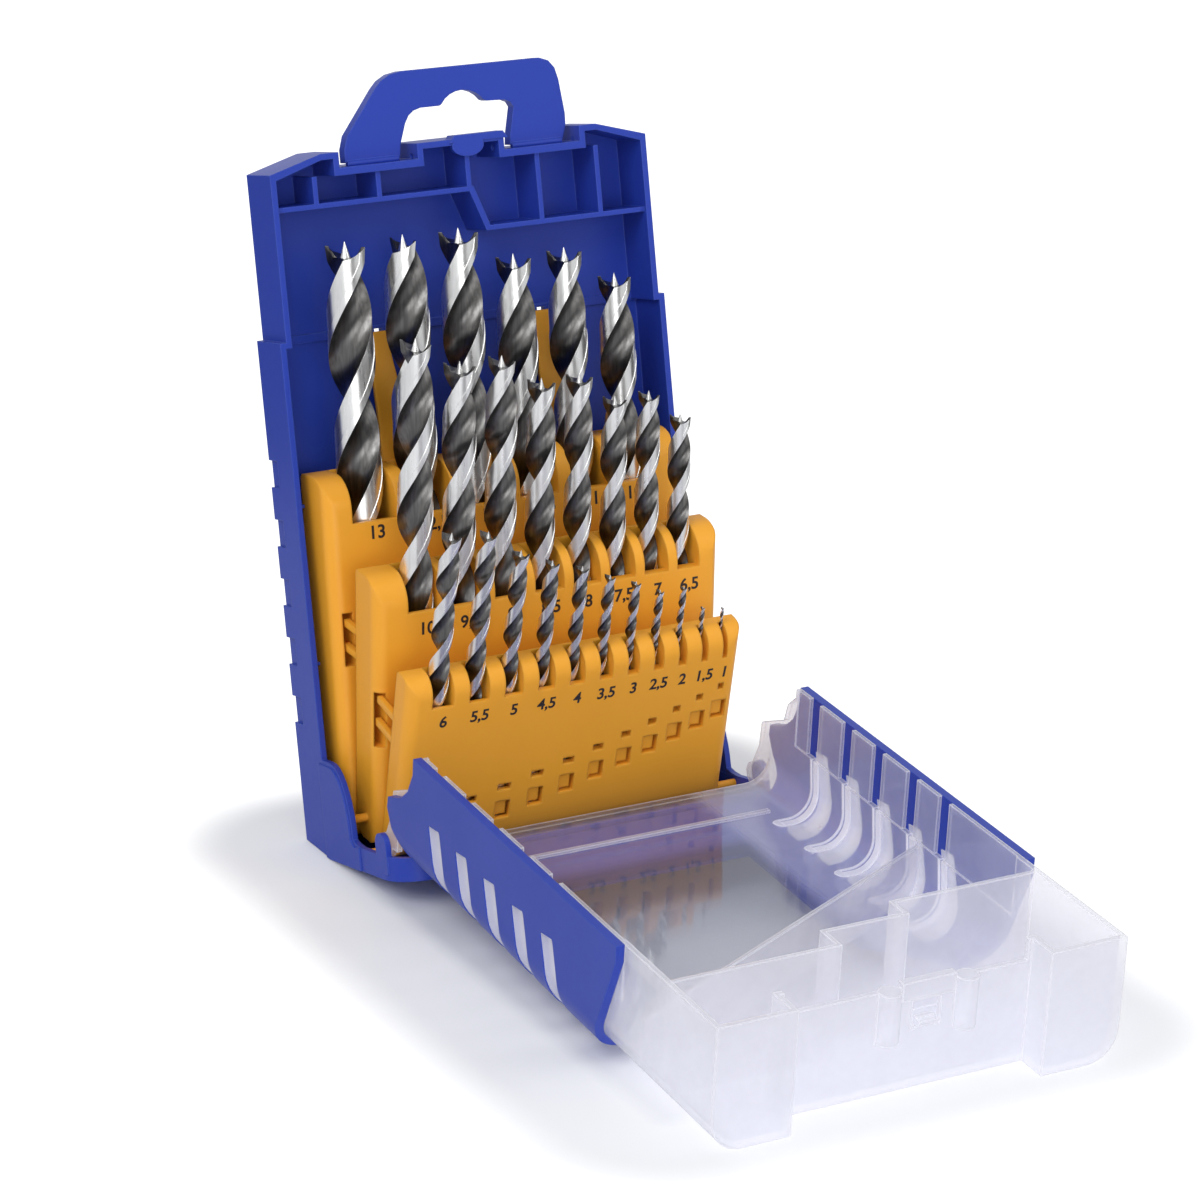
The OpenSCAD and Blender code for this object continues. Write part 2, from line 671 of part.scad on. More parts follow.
// Brad point bit standing on its shank: plain shank, twisted flutes, point and spurs
module brad_bit(d, l) {
  r = d / 2;
  z0 = l * shank_k;
  z1 = l - d * brad_k;
  turn = 360 * (z1 - z0) / (pitch_k * d);
  cylinder(r1 = r * 0.86, r2 = r, h = d * 0.08, $fn = round_fn);
  translate([0, 0, d * 0.08]) cylinder(r = r, h = z0 - d * 0.08, $fn = round_fn);
  translate([0, 0, z0]) linear_extrude(z1 - z0, twist = -turn, slices = 16, segments = 12)
    flute_section(r * land_k);
  translate([0, 0, z1 - d * 0.02]) cylinder(r1 = r * 0.25, r2 = r * 0.03, h = d * (brad_k + 0.02), $fn = 24);
  for (k = [0, 1]) rotate([0, 0, turn - 20 + 180 * k]) translate([r * 0.72, 0, z1 - d * 0.02])
    cylinder(r1 = r * 0.15, r2 = r * 0.02, h = d * 0.17, $fn = 24);
}

module back_bit(i) {
  color(steel) tilted(back_py, back_pz, tilt_back) translate([back_at(i), back_axis, back_floor])
    brad_bit(BACK_D[i], BACK_L[i]);
}

module mid_bit(i) {
  color(steel) tilted(mid_py, mid_pz, tilt_middle) translate([mid_at(i), mid_axis, mid_floor])
    brad_bit(MID_D[i], MID_L[i]);
}

module front_bit(i) {
  color(steel) tilted(front_py, front_pz, tilt_front) translate([front_at(i), front_axis, FRONT_F[i]])
    brad_bit(FRONT_D[i], FRONT_L[i]);
}

rear_shell();
handle();
lid_tray();
lid_frame();
rack_back();
rack_middle();
rack_front();
middle_link(true);  // link_middle_left
middle_link(false);  // link_middle_right
front_link(true);  // link_front_left
front_link(false);  // link_front_right
back_bit(0);  // bit_13
back_bit(1);  // bit_12_5
back_bit(2);  // bit_12
back_bit(3);  // bit_11_5
back_bit(4);  // bit_11
back_bit(5);  // bit_10_5
mid_bit(0);  // bit_10
mid_bit(1);  // bit_9_5
mid_bit(2);  // bit_9
mid_bit(3);  // bit_8_5
mid_bit(4);  // bit_8
mid_bit(5);  // bit_7_5
mid_bit(6);  // bit_7
mid_bit(7);  // bit_6_5
front_bit(0);  // bit_6
front_bit(1);  // bit_5_5
front_bit(2);  // bit_5
front_bit(3);  // bit_4_5
front_bit(4);  // bit_4
front_bit(5);  // bit_3_5
front_bit(6);  // bit_3
front_bit(7);  // bit_2_5
front_bit(8);  // bit_2
front_bit(9);  // bit_1_5
front_bit(10);  // bit_1
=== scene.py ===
"""Looks of a drill bit case: blue shell, clear lid, three yellow racks and 25 brad point bits.

Sizes are in millimetres in the closed case's own frame, as a maker's drawing would give
them, and MM turns them into the scene's metres.
"""

import logging
import math
from dataclasses import dataclass, field
from enum import Enum
from typing import Callable, Sequence

import bmesh
import bpy
from mathutils import Matrix, Vector


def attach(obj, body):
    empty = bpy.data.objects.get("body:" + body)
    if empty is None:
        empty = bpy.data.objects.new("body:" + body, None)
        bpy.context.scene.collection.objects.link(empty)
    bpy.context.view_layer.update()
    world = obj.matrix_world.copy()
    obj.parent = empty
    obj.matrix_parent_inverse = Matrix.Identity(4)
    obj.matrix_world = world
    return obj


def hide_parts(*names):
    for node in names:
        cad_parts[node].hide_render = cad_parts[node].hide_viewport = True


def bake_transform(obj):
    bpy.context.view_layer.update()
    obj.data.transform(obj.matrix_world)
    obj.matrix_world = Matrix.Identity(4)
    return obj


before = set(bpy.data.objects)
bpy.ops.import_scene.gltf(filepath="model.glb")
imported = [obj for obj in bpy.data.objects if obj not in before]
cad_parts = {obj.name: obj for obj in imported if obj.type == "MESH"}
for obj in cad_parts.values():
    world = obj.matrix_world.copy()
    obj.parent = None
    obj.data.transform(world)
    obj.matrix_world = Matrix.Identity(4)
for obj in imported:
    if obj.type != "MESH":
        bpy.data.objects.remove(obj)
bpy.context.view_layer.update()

MM = 0.001
LOG = logging.getLogger("bit_case")
Rgb = tuple[float, float, float]


# ---------------------------------------------------------------- shader maths


class Wire:
    """A shader socket that can stand in a sum; each operator adds one Math node."""

    def __init__(self, recipe: "Recipe", socket: bpy.types.NodeSocket) -> None:
        """Keeps the socket and the recipe that it belongs to."""
        self.recipe = recipe
        self.socket = socket

    def _sum(self, operation: str, first: object, second: object) -> "Wire":
        """Adds a Math node of two values or wires."""
        return self.recipe.node("ShaderNodeMath", {"operation": operation}, {0: first, 1: second})

    def __add__(self, other: object) -> "Wire":
        """Adds."""
        return self._sum("ADD", self, other)

    __radd__ = __add__

    def __sub__(self, other: object) -> "Wire":
        """Subtracts other."""
        return self._sum("SUBTRACT", self, other)

    def __rsub__(self, other: object) -> "Wire":
        """Subtracts this wire from other."""
        return self._sum("SUBTRACT", other, self)

    def __mul__(self, other: object) -> "Wire":
        """Multiplies."""
        return self._sum("MULTIPLY", self, other)

    __rmul__ = __mul__

    def __truediv__(self, other: object) -> "Wire":
        """Divides by other."""
        return self._sum("DIVIDE", self, other)

    def __pow__(self, other: object) -> "Wire":
        """Raises to a power."""
        return self._sum("POWER", self, other)

    def clamp(self) -> "Wire":
        """Limits the value to 0..1."""
        return self.recipe.node("ShaderNodeClamp", {}, {"Value": self})


class Recipe:
    """The node tree of one finish."""

    def __init__(self, name: str) -> None:
        """Starts an empty material.

        Args:
            name: the finish, in a maker's words.
        """
        self.material = bpy.data.materials.new(name)
        self.material.use_nodes = True
        self.tree = self.material.node_tree
        self.tree.nodes.clear()

    def node(
        self,
        kind: str,
        settings: dict[str, object] | None = None,
        inputs: dict[str | int, object] | None = None,
        output: str | int = 0,
    ) -> Wire:
        """Adds any node.

        Args:
            kind: the node's type.
            settings: the node's own settings, set before its sockets.
            inputs: values or wires by socket name or number.
            output: the output that the wire starts from.

        Returns:
            The wire of that output.
        """
        made = self.tree.nodes.new(kind)
        for key, value in (settings or {}).items():
            setattr(made, key, value)
        for key, value in (inputs or {}).items():
            self.join(value, made.inputs[key])
        return Wire(self, made.outputs[output])

    def join(self, value: object, socket: bpy.types.NodeSocket) -> None:
        """Links a wire to a socket, or sets the socket to a plain value."""
        if isinstance(value, Wire):
            self.tree.links.new(value.socket, socket)
        elif isinstance(value, tuple) and len(value) == 3 and socket.type == "RGBA":
            socket.default_value = (*value, 1.0)
        else:
            socket.default_value = value

    def place(self) -> Wire:
        """The point on the surface in the row's frame at rest, in metres."""
        return self.node("ShaderNodeTexCoord", output="Object")

    def noise(self, size_mm: float, detail: float = 3.0, stretch: Rgb = (1.0, 1.0, 1.0)) -> Wire:
        """Soft noise whose blobs are about size_mm across.

        Args:
            size_mm: the size of a blob.
            detail: the octaves of finer noise on it.
            stretch: factors on the three axes; a small one draws the blobs out.

        Returns:
            The noise from 0 to 1.
        """
        where = self.node(
            "ShaderNodeVectorMath", {"operation": "MULTIPLY"}, {0: self.place(), 1: stretch}
        )
        scale = 1.0 / (size_mm * MM)
        return self.node(
            "ShaderNodeTexNoise", {}, {"Vector": where, "Scale": scale, "Detail": detail}
        )

    def blend(self, share: object, first: object, second: object) -> Wire:
        """Mixes two colours by share."""
        return self.node(
            "ShaderNodeMix", {"data_type": "RGBA"}, {0: share, 6: first, 7: second}, output=2
        )

    def bump(self, height: Wire, depth_mm: float, strength: float, base: Wire) -> Wire:
        """A normal with the relief of height on the normal base."""
        return self.node(
            "ShaderNodeBump", {},
            {"Height": height, "Distance": depth_mm * MM, "Strength": strength, "Normal": base},
        )

    def soft_normal(self, radius_mm: float) -> Wire:
        """The normal of a moulding whose edges have the radius radius_mm."""
        return self.node("ShaderNodeBevel", {"samples": 4}, {"Radius": radius_mm * MM})

    def edges(self, soft: Wire) -> Wire:
        """A mask that is 1 where the normal soft turns round an edge and 0 elsewhere."""
        flat = self.node("ShaderNodeNewGeometry", output="Normal")
        same = self.node("ShaderNodeVectorMath", {"operation": "DOT_PRODUCT"}, {0: soft, 1: flat},
                         output="Value")
        return ((1.0 - same) * 6.0).clamp()

    def finish(self, shader: Wire) -> bpy.types.Material:
        """Ends the tree in the material's output and returns the material."""
        end = self.tree.nodes.new("ShaderNodeOutputMaterial")
        self.tree.links.new(shader.socket, end.inputs["Surface"])
        return self.material


# ------------------------------------------------------------------- finishes


@dataclass(frozen=True)
class MouldedPlastic:
    """Satin injection moulding with faint flow marks, fine grain and a painted highlight that makes
    its edges paler.
    """

    name: str
    colour: Rgb
    shade: Rgb
    # The colour of the painted highlight along the rounded edges.
    edge: Rgb
    roughness: float = 0.36
    gloss: float = 0.3
    edge_radius: float = 0.5
    grain_mm: float = 0.35
    grain_depth: float = 0.012

    def make(self) -> bpy.types.Material:
        """Returns the plastic's material."""
        r = Recipe(self.name)
        flow = r.noise(28.0, 2.0)
        speck = r.noise(2.2, 4.0)
        body = r.blend(flow * 0.7, self.colour, self.shade)
        body = r.blend((speck - 0.5) * 0.25 + 0.1, body, self.shade)
        soft = r.soft_normal(self.edge_radius)
        # Painted highlight: the colour turns paler along the rounded edges.
        body = r.blend(r.edges(soft) * 0.55, body, self.edge)
        rough = flow * 0.08 + speck * 0.05 + (self.roughness - 0.06)
        grain = r.noise(self.grain_mm, 2.0) + flow * 0.4
        return r.finish(r.node(
            "ShaderNodeBsdfPrincipled", {},
            {"Base Color": body, "Roughness": rough, "Specular IOR Level": self.gloss,
             "Normal": r.bump(grain, self.grain_depth, 0.35, soft)},
        ))


@dataclass(frozen=True)
class ClearPlastic:
    """Thin clear moulding: hazy walls with a painted white highlight along their edges, and a
    clearer floor over the window that carries painted shade, darkest towards the hinge.
    """

    name: str
    haze_share: float = 0.27
    frost_share: float = 0.06
    # The floor's mirror, which also sets how strongly the painted shade covers the window.
    floor_mirror_and_shade: float = 0.0
    tint: Rgb = (0.95, 0.95, 0.975)
    # The tint of the painted shade over the window, standing in for the shadow under the lid.
    painted_shade_tint: Rgb = (0.58, 0.60, 0.67)
    haze: Rgb = (0.92, 0.92, 0.96)
    frost_from: float = 88.0
    frost_to: float = 128.0
    # How much white milk the painted highlight along the edges adds.
    edge_highlight_share: float = 0.85
    edge_radius: float = 0.75
    floor_d: float = 32.5
    middle_half: float = 35.0
    window_l: float = 16.0
    # The painted shade over the window is full at shade_from and falls to least_shade at shade_to.
    shade_from: float = 24.0
    shade_to: float = 66.0
    least_shade: float = 0.42

    def make(self) -> bpy.types.Material:
        """Returns the clear plastic's material."""
        r = Recipe(self.name)
        lid = CaseFrame().lid().inverted()
        spot = r.place()
        across = r.node("ShaderNodeSeparateXYZ", {}, {0: spot}, output="Y")
        upward = r.node("ShaderNodeSeparateXYZ", {}, {0: spot}, output="Z")
        along = across * lid[1][1] + upward * lid[1][2] + lid[1][3]
        deep = across * lid[2][1] + upward * lid[2][2] + lid[2][3]
        frost = r.node(
            "ShaderNodeMapRange", {"interpolation_type": "SMOOTHSTEP"},
            {"Value": along, "From Min": self.frost_from * MM, "From Max": self.frost_to * MM},
        )
        floor = ((deep - self.floor_d * MM) * 3000.0).clamp() * (1.0 - frost)
        sideways = r.node("ShaderNodeMath", {"operation": "ABSOLUTE"}, {
            0: r.node("ShaderNodeSeparateXYZ", {}, {0: spot}, output="X")})
        middle = floor * ((self.middle_half * MM - sideways) * 200.0).clamp()
        window = middle * ((along - self.window_l * MM) * 160.0).clamp()
        # Painted shade over the window: strongest near the hinge, weaker towards the free end.
        shaded = r.node("ShaderNodeMapRange", {}, {
            "Value": along, "From Min": self.shade_from * MM, "From Max": self.shade_to * MM,
            "To Min": 1.0, "To Max": self.least_shade})
        cloud = r.noise(11.0, 3.0)
        soft = r.soft_normal(self.edge_radius)
        edge = r.edges(soft)
        grazing = r.node("ShaderNodeLayerWeight", {}, {"Blend": 0.5, "Normal": soft},
                         output="Facing")
        share = (frost * self.frost_share + self.haze_share) * (cloud * 0.4 + 0.8)
        share = share * (1.0 - middle * 0.8)
        # Painted highlight: along the rounded edges the wall turns to white milk.
        share = (share + edge * self.edge_highlight_share + grazing ** 3.0 * 0.22).clamp()
        grain = r.bump(cloud, 0.05, 0.12, soft)
        seen = r.node("ShaderNodeBsdfTransparent", {}, {"Color": self.tint})
        # A darker see-through tint for the window: painted shade for the shadow under the lid.
        shadowed_view = r.node("ShaderNodeBsdfTransparent", {}, {"Color": self.painted_shade_tint})
        seen = r.node("ShaderNodeMixShader", {}, {0: window * shaded * self.floor_mirror_and_shade * 2.0,
                                                  1: seen, 2: shadowed_view})
        front = r.node("ShaderNodeBsdfDiffuse", {}, {"Color": self.haze})
        back = r.node("ShaderNodeBsdfTranslucent", {}, {"Color": self.haze})
        milk = r.node("ShaderNodeMixShader", {}, {0: 0.5, 1: front, 2: back})
        wall = r.node("ShaderNodeMixShader", {}, {0: share, 1: seen, 2: milk})
        shine = r.node("ShaderNodeBsdfGlossy", {}, {"Roughness": 0.05, "Normal": grain})
        mirror = (grazing ** 4.0 * (0.7 - floor * 0.45)
                  + floor * self.floor_mirror_and_shade * 0.14 + 0.035)
        return r.finish(r.node("ShaderNodeMixShader", {}, {0: mirror, 1: wall, 2: shine}))


@dataclass(frozen=True)
class ToolSteel:
    """Ground or oxidised steel with streaks along the grinding direction."""

    name: str
    bright: Rgb
    dark: Rgb
    roughness: float
    streak: Rgb = (1.0, 1.0, 0.06)
    streak_mm: float = 0.9

    def make(self) -> bpy.types.Material:
        """Returns the steel's material."""
        r = Recipe(self.name)
        soft = r.soft_normal(0.08)
        streaks = r.noise(self.streak_mm, 5.0, self.streak)
        clouds = r.noise(7.0, 2.0)
        share = ((streaks - 0.35) * 1.6 + clouds * 0.5 - 0.2).clamp()
        colour = r.blend(share, self.bright, self.dark)
        rough = streaks * 0.14 + (self.roughness - 0.05)
        return r.finish(r.node(
            "ShaderNodeBsdfPrincipled", {},
            {"Base Color": colour, "Metallic": 1.0, "Roughness": rough,
             "Normal": r.bump(streaks, 0.02, 0.2, soft)},
        ))


@dataclass(frozen=True)
class PrintedInk:
    """Flat black print with slightly uneven cover."""

    name: str = "black_print"
    colour: Rgb = (0.012, 0.011, 0.012)
    thin: Rgb = (0.05, 0.035, 0.02)

    def make(self) -> bpy.types.Material:
        """Returns the ink's material."""
        r = Recipe(self.name)
        cover = r.noise(0.4, 3.0)
        colour = r.blend((cover - 0.45) * 0.8, self.colour, self.thin)
        return r.finish(r.node(
            "ShaderNodeBsdfPrincipled", {}, {"Base Color": colour, "Roughness": cover * 0.2 + 0.4}
        ))


class Finish(Enum):
    """The finishes that pieces choose from."""

    # The third colour of each moulded plastic is the painted highlight along its edges.
    BLUE = MouldedPlastic("blue_plastic", (0.021, 0.052, 0.40), (0.017, 0.043, 0.345),
                          (0.07, 0.13, 0.58))
    YELLOW = MouldedPlastic("yellow_plastic", (0.87, 0.395, 0.033), (0.82, 0.35, 0.026),
                            (0.90, 0.45, 0.05), 0.40, 0.3, 0.9)
    CLEAR = ClearPlastic("clear_lid_plastic", floor_mirror_and_shade=0.5)
    FROSTED = ClearPlastic("frosted_pad_plastic", haze_share=0.5, frost_share=0.0)
    RIM = ClearPlastic("frosted_rim_plastic", haze_share=0.62, frost_share=0.0)
    LAND = ToolSteel("ground_land_steel", (0.90, 0.90, 0.89), (0.66, 0.66, 0.65), 0.27)
    FLUTE = ToolSteel("dark_flute_steel", (0.165, 0.162, 0.158), (0.05, 0.048, 0.05), 0.30)
    INK = PrintedInk()


class Palette:
    """Makes each finish's material once."""

    def __init__(self) -> None:
        """Starts with no material made."""
        self.made: dict[Finish, bpy.types.Material] = {}

    def get(self, finish: Finish) -> bpy.types.Material:
        """Returns the material of a finish."""
        if finish not in self.made:
            self.made[finish] = finish.value.make()
        return self.made[finish]


# ------------------------------------------------------------------ the frames


@dataclass(frozen=True)
class CaseFrame:
    """Turns places in the closed case's frame into the open rest pose."""

    lean: float = 10.59
    depth: float = 16.3
    lid_swing: float = 105.828
    hinge_y: float = -35.0
    hinge_z: float = 9.4
    rim_z: float = 29.0

    def case(self) -> Matrix:
        """The shell's frame: leaning back on the bevel under it."""
        seat = self.depth / math.cos(math.radians(self.lean)) / 2
        return Matrix.Translation((0, -seat * MM, 0)) @ Matrix.Rotation(
            -math.radians(self.lean), 4, "X")

    def tilted(self, y: float, z: float, angle: float) -> Matrix:
        """A rack's frame: the shell's, tilted forward by angle about (y, z)."""
        pivot = Vector((0, y * MM, z * MM))
        return (self.case() @ Matrix.Translation(pivot)
                @ Matrix.Rotation(math.radians(angle), 4, "X") @ Matrix.Translation(-pivot))

    def lid(self) -> Matrix:
        """The open lid's frame: x, l along the rim and d down from the rim."""
        hinge = Vector((0, self.hinge_y * MM, self.hinge_z * MM))
        closed = Matrix(((1, 0, 0, 0), (0, 0, -1, 0), (0, 1, 0, self.rim_z * MM), (0, 0, 0, 1)))
        return (self.case() @ Matrix.Translation(hinge)
                @ Matrix.Rotation(math.radians(self.lid_swing), 4, "X")
                @ Matrix.Translation(-hinge) @ closed)


@dataclass(frozen=True)
class RackRow:
    """One rack's row of bits, in the closed frame."""

    name: str
    sizes: tuple[float, ...]
    lengths: tuple[float, ...]
    floors: tuple[float, ...]
    start: float
    space: float
    axis: float
    front: float
    lip: float
    pivot: tuple[float, float]
    tilt: float
    bearings: tuple[float, ...]
    label_z: float
    label_size: float
    label_slant: float

    def places(self) -> list[float]:
        """The x of each pocket."""
        found = [self.start]
        for left, right in zip(self.sizes, self.sizes[1:]):
            found.append(found[-1] + (left + right) / 2 + self.space)
        return found

    def matrix(self, case: CaseFrame) -> Matrix:
        """The rack's frame at rest."""
        return case.tilted(*self.pivot, self.tilt)


BACK_ROW = RackRow("back", (13, 12.5, 12, 11.5, 11, 10.5), (151, 151, 151, 142, 142, 133),
                   (19.3,) * 6, -40.2, 4.66, 6.3, -2.2, 94.0, (6.3, 12), 4.3,
                   (-88, -112, -80, -88, -84, -86), 90.7, 5.2, 0.0)
MIDDLE_ROW = RackRow("middle", (10, 9.5, 9, 8.5, 8, 7.5, 7, 6.5),
                     (133, 125, 125, 117, 117, 109, 109, 101), (14.7,) * 8, -36.8, 3.39,
                     -9.05, -15.8, 72.4, (-9.05, 12), 12.5,
                     (-90, -80, -92, -82, -80, -86, -92, -84), 67.4, 5.0, 0.0)
FRONT_ROW = RackRow("front", (6, 5.5, 5, 4.5, 4, 3.5, 3, 2.5, 2, 1.5, 1),
                    (93, 93, 86, 80, 75, 70, 61, 57, 49, 40, 34),
                    (9.2, 7.8, 7.3, 8.7, 10.3, 11.1, 16.6, 16.6, 24.3, 25.7, 30.4),
                    -40.8, 5.2, -20.6, -25.0, 50.5, (-20.6, 4.4), 23.0,
                    (-84, -92, -78, -88, -82, -90, -80, -86, -84, -90, -80), 45.9, 4.7, 0.08)
ROWS = (BACK_ROW, MIDDLE_ROW, FRONT_ROW)


def size_name(size: float, mark: str) -> str:
    """A bit's size as words, such as 12_5 or 12,5.

    Args:
        size: the diameter in millimetres.
        mark: what stands for the decimal point.

    Returns:
        The size without a trailing zero.
    """
    return f"{size:g}".replace(".", mark)


# ------------------------------------------------------------------ mesh tools


def shade_by_angle(mesh: bmesh.types.BMesh, limit_deg: float) -> None:
    """Smooths every face and keeps edges sharper than limit_deg."""
    limit = math.radians(limit_deg)
    for face in mesh.faces:
        face.smooth = True
    for edge in mesh.edges:
        edge.smooth = len(edge.link_faces) == 2 and edge.calc_face_angle(0.0) < limit


def to_object(name: str, mesh: bmesh.types.BMesh) -> bpy.types.Object:
    """Turns a bmesh into an object in the scene and frees it."""
    data = bpy.data.meshes.new(name)
    mesh.to_mesh(data)
    mesh.free()
    made = bpy.data.objects.new(name, data)
    bpy.context.scene.collection.objects.link(made)
    return made


class Moulding:
    """A moulded piece: the frame's solid in its finish."""

    def __init__(self, node: str, body: str, slot: str, finish: Finish) -> None:
        """Names the piece.

        Args:
            node: the solid that it stands for.
            body: the body that it rides on.
            slot: the record's material slot; not used.
            finish: its finish, whose normal rounds its edges.
        """
        self.node = node
        self.body = body
        self.slot = slot
        self.finish = finish

    def build(self, palette: Palette) -> bpy.types.Object:
        """Makes the piece and returns it."""
        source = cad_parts[self.node]
        mesh = bmesh.new()
        mesh.from_mesh(source.data)
        bmesh.ops.remove_doubles(mesh, verts=mesh.verts, dist=0.004 * MM)
        shade_by_angle(mesh, 28)
        piece = to_object(f"{self.node}_moulding", mesh)
        piece.data.materials.append(palette.get(self.finish))
        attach(piece, self.body)
        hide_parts(self.node)
        return piece


@dataclass
class BradPointBit:
    """One twisted bit: plain shank, two flutes, a centre point and two spurs."""

    size: float
    length: float
    shank_share: float = 0.36
    pitch_share: float = 5.2
    point_share: float = 0.34
    land_share: float = 0.985
    tip_bearing: float = -85.0
    land_half: float = 33.0
    margin_from: float = 15.0
    relief: float = 0.965
    web: float = 0.24
    spur_share: float = 0.24
    arc_steps: int = 10
    rings_per_turn: int = 56
    plain_rings: int = 3
    run_out: int = 9
    cap_insets: tuple[float, ...] = (0.88, 0.7, 0.5, 0.3, 0.12, 0.0)
    point_rings: tuple[tuple[float, float], ...] = ((0.62, 0.4), (0.3, 0.75), (0.06, 1.0))

    def section(self) -> list[tuple[float, float, bool]]:
        """The outline as angle in degrees, radius share and whether a flute starts there."""
        half = math.radians(90 - self.land_half)
        reach_x, reach_y = math.sin(half), math.cos(half)
        centre = (1 - self.web ** 2) / (2 * (reach_y - self.web))
        bite = centre - self.web
        edge = math.atan2(reach_x, centre - reach_y)
        points = []
        low = [-self.land_half + (self.margin_from + self.land_half) * k / 6 for k in range(7)]
        high = [self.margin_from + 0.2 + (self.land_half - self.margin_from - 0.2) * k / 3
                for k in range(3)]
        for side in (0, 180):
            points += [(angle + side, self.relief, False) for angle in low]
            points += [(angle + side, 1.0, False) for angle in high]
            for step in range(self.arc_steps):
                turn = edge - 2 * edge * step / self.arc_steps
                x, y = bite * math.sin(turn), centre - bite * math.cos(turn)
                points.append((90 - math.degrees(math.atan2(x, y)) + side, math.hypot(x, y), True))
        return points

    def spur(self, angle: float) -> float:
        """The height share of the cutting spur at an angle of the outline."""
        local = (angle + 90) % 180 - 90
        if abs(local) > self.land_half:
            return 0.0
        rise = (local + self.land_half) / (2 * self.land_half)
        return self.spur_share * rise ** 1.6

    def build(self, name: str, palette: Palette) -> bpy.types.Object:
        """Makes the bit standing on the origin and returns it.

        Args:
            name: the piece's name.
            palette: the scene's finishes.

        Returns:
            The bit, not yet in its pocket.
        """
        radius = self.size / 2 * MM
        low = self.length * self.shank_share * MM
        high = (self.length - self.size * self.point_share) * MM
        turn = 360 * (high - low) / (self.pitch_share * self.size * MM)
        phase = self.tip_bearing - turn
        rings = max(24, round(self.rings_per_turn * turn / 360))
        outline = self.section()
        count = len(outline)
        mesh = bmesh.new()
        loops: list[list[bmesh.types.BMVert]] = []

        def ring(z: float, spin: float, scale: Callable[[int], float], lift: Callable[[int], float]
                 ) -> None:
            """Adds one ring of the outline."""
            row = []
            for i, (angle, _, _) in enumerate(outline):
                turned = math.radians(angle + spin + phase)
                reach = radius * scale(i)
                row.append(mesh.verts.new(
                    (reach * math.cos(turned), reach * math.sin(turned), z + lift(i))))
            loops.append(row)

        flat: Callable[[int], float] = lambda i: 0.0
        ring(0, 0, lambda i: 0.84, flat)
        ring(self.size * 0.09 * MM, 0, lambda i: 1.0, flat)
        ring(low - self.size * 0.5 * MM, 0, lambda i: 1.0, flat)
        for step in range(self.run_out + rings + 1):
            share = (step - self.run_out) / rings
            z = low + (high - low) * max(share, 0) + min(step - self.run_out, 0) * radius * 0.09
            depth = min(1.0, (step + 1) / (self.run_out + 2))
            ease = depth * depth * (3 - 2 * depth)
            ring(z, turn * share,
                 lambda i, e=ease: self.land_share * (1 + (outline[i][1] - 1) * e), flat)
        flutes_end = len(loops)
        for i, vert in enumerate(loops[-1]):
            vert.co.z += self.lip(outline[i][0], 1.0)
        core = self.web * 0.95
        for inset in self.cap_insets:
            ring(high, turn,
                 lambda i, k=inset: core + (self.land_share * outline[i][1] - core) * k,
                 lambda i, k=inset: self.lip(outline[i][0], k))
        cap_end = len(loops)
        for inset, rise in self.point_rings:
            ring(high, turn, lambda i, k=inset: core * k,
                 lambda i, h=rise: self.size * self.point_share * MM * h)
        for number, (below, above) in enumerate(zip(loops, loops[1:])):
            on_cap = flutes_end - 1 <= number < cap_end - 1
            twisted = self.plain_rings <= number < flutes_end
            for i in range(count):
                j = (i + 1) % count
                face = mesh.faces.new((below[i], below[j], above[j], above[i]))
                face.material_index = 1 if on_cap or (outline[i][2] and twisted) else 0
        mesh.faces.new(list(reversed(loops[0])))
        mesh.faces.new(loops[-1])
        bmesh.ops.recalc_face_normals(mesh, faces=mesh.faces)
        shade_by_angle(mesh, 33)
        bit = to_object(name, mesh)
        bit.data.materials.append(palette.get(Finish.LAND))
        bit.data.materials.append(palette.get(Finish.FLUTE))
        return bit

    def lip(self, angle: float, inset: float) -> float:
        """The height of the cutting lip over the flutes' end, in metres."""
        outer = max(0.0, (inset - 0.35) / 0.65)
        return self.size * self.spur(angle) * outer ** 1.3 * MM


# ------------------------------------------------------------ sub-assemblies


@dataclass
class Shell:
    """The blue shell and its folding handle."""

    slot: str = "blue_plastic"

    def build(self, palette: Palette) -> None:
        """Makes the shell's mouldings."""
        for node, body in (("rear_shell", "case"), ("handle", "handle")):
            Moulding(node, body, self.slot, Finish.BLUE).build(palette)
            LOG.info("%s", node)


@dataclass(frozen=True)
class CornerPath:
    """The line down a side wall of the lid, round its corner and in over its floor."""

    wall_x: float
    floor_d: float
    radius: float
    arc_steps: int = 8

    def points(self, depths: Sequence[float], ends: Sequence[float]) -> list[
            tuple[float, float, float, float]]:
        """Places along the line.

        Args:
            depths: the depths of the places on the wall, above its corner.
            ends: the x of the places on the floor, past its corner.

        Returns:
            The x and depth of each place, and the surface's outward normal there.
        """
        centre_x, centre_d = self.wall_x - self.radius, self.floor_d - self.radius
        line = [(self.wall_x, depth, 1.0, 0.0) for depth in depths if depth < centre_d]
        for step in range(self.arc_steps + 1):
            turn = math.pi / 2 * step / self.arc_steps
            line.append((centre_x + self.radius * math.cos(turn),
                         centre_d + self.radius * math.sin(turn),
                         math.cos(turn), math.sin(turn)))
        return line + [(x, self.floor_d, 0.0, 1.0) for x in ends if x < centre_x]


